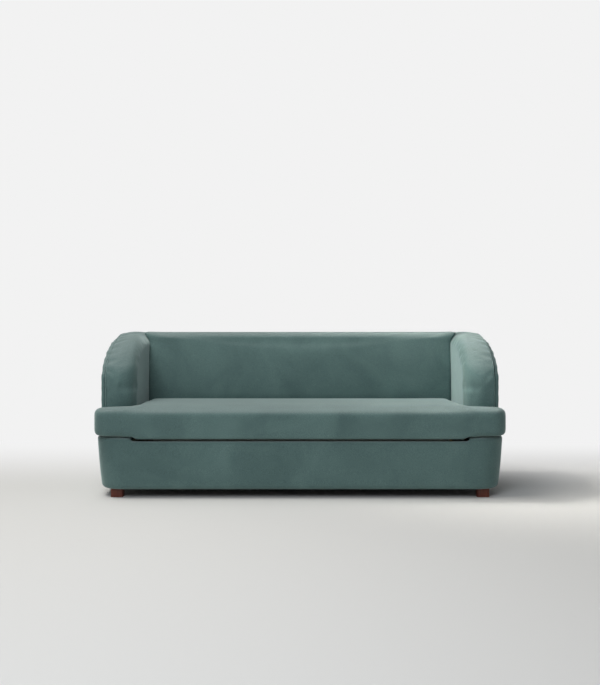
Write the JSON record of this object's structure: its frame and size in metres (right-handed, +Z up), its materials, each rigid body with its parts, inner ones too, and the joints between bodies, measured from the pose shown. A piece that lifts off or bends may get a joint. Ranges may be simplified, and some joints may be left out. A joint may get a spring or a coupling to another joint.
{
  "type": "sofa bed",
  "caption": "Velvet sofa bed with swept arms, a tight back, a T-shaped loose seat cushion and a bed that lifts and unfolds in three sections from under it.",
  "frame": {"origin": "floor level under the middle of the sofa", "axes": "+X to the sitter's left, -Y towards the front, +Z up"},
  "size_m": [2.17, 0.96, 0.85],
  "materials": {
    "velvet": "plain teal-green velvet",
    "feet": "stained, satin",
    "timber": "sawn pine and plywood",
    "slats": "lacquered beech",
    "ticking": "plain woven ticking",
    "webbing": "woven webbing",
    "dust_cloth": "black non-woven cloth",
    "glides": "matt",
    "pins": "zinc plated",
    "frame_paint": "satin grey paint"
  },
  "bodies": {
    "sofa": {"base_front_panel": "velvet", "base_side_right": "velvet", "base_side_left": "velvet", "base_back": "velvet", "front_feet": "feet", "rear_feet": "feet", "foot_bolts": "pins", "corner_blocks": "timber", "front_rail": "timber", "rear_rail": "timber", "arm_inner_board_right": "timber", "arm_inner_board_left": "timber", "arm_ledge_right": "timber", "arm_ledge_left": "timber", "dust_cover": "dust_cloth", "outside_arm_right": "velvet", "outside_arm_left": "velvet", "outside_back": "velvet", "arm_pad_right": "velvet", "arm_pad_left": "velvet", "arm_board_right": "timber", "arm_board_left": "timber", "back_top_rail": "timber", "back_lower_rail": "timber", "back_posts": "timber", "back_webbing": "webbing", "back_pad": "velvet", "channel_right": "frame_paint", "channel_left": "frame_paint", "pivot_studs": "pins"},
    "front_links": {"front_links": "frame_paint"},
    "rear_links": {"rear_links": "frame_paint"},
    "head_section": {"head_side_rails": "frame_paint", "head_cross_tubes": "frame_paint", "head_slats": "slats", "head_mattress": "ticking", "head_plates": "frame_paint", "fold_pins": "pins", "link_pins": "pins"},
    "middle_section": {"middle_side_rails": "frame_paint", "middle_cross_tubes": "frame_paint", "middle_slats": "slats", "middle_mattress": "ticking", "middle_plates": "frame_paint", "turn_pins": "pins", "middle_leg_pins": "pins"},
    "foot_section": {"foot_side_rails": "frame_paint", "foot_cross_tubes": "frame_paint", "foot_slats": "slats", "foot_mattress": "ticking", "foot_plates": "frame_paint", "foot_leg_pins": "pins", "pull_strap": "webbing"},
    "middle_legs": {"middle_legs": "frame_paint", "middle_leg_glides": "glides"},
    "foot_legs": {"foot_legs": "frame_paint", "foot_leg_glides": "glides"},
    "seat_cushion": {"seat_cushion": "velvet"}
  },
  "joints": [
    {"name": "bed_lift", "type": "hinge", "parent": "sofa", "child": "front_links", "pos_m": [0, -0.24809, 0.17524], "axis": [1, 0, 0], "range_deg": [0, 150]},
    {"name": "rear_link_turn", "type": "hinge", "parent": "sofa", "child": "rear_links", "pos_m": [0, 0.02191, 0.17524], "axis": [1, 0, 0], "range_deg": [0, 150]},
    {"name": "head_level", "type": "hinge", "parent": "front_links", "child": "head_section", "pos_m": [0, -0.04135, 0.1], "axis": [1, 0, 0], "range_deg": [-150, 0]},
    {"name": "middle_fold", "type": "hinge", "parent": "head_section", "child": "middle_section", "pos_m": [0, -0.3815, 0.147], "axis": [1, 0, 0], "range_deg": [0, 180]},
    {"name": "foot_fold", "type": "hinge", "parent": "middle_section", "child": "foot_section", "pos_m": [0, 0.155, 0.2323], "axis": [1, 0, 0], "range_deg": [-180, 0]},
    {"name": "middle_leg_fold", "type": "hinge", "parent": "middle_section", "child": "middle_legs", "pos_m": [0, 0.035, 0.222], "axis": [1, 0, 0], "range_deg": [-90, 0]},
    {"name": "foot_leg_fold", "type": "hinge", "parent": "foot_section", "child": "foot_legs", "pos_m": [0, -0.3575, 0.2426], "axis": [1, 0, 0], "range_deg": [-90, 0]},
    {"name": "cushion_lift", "type": "slide", "parent": "foot_section", "child": "seat_cushion", "axis": [0, 0, 1], "range_m": [0, 0.5]}
  ],
  "couplings": [
    {"joint": "rear_link_turn", "follows": "bed_lift", "ratio": 1},
    {"joint": "head_level", "follows": "bed_lift", "ratio": -1},
    {"joint": "middle_fold", "follows": "bed_lift", "ratio": 1.2},
    {"joint": "foot_fold", "follows": "bed_lift", "ratio": -1.2},
    {"joint": "middle_leg_fold", "follows": "bed_lift", "ratio": -0.6},
    {"joint": "foot_leg_fold", "follows": "bed_lift", "ratio": -0.6}
  ]
}
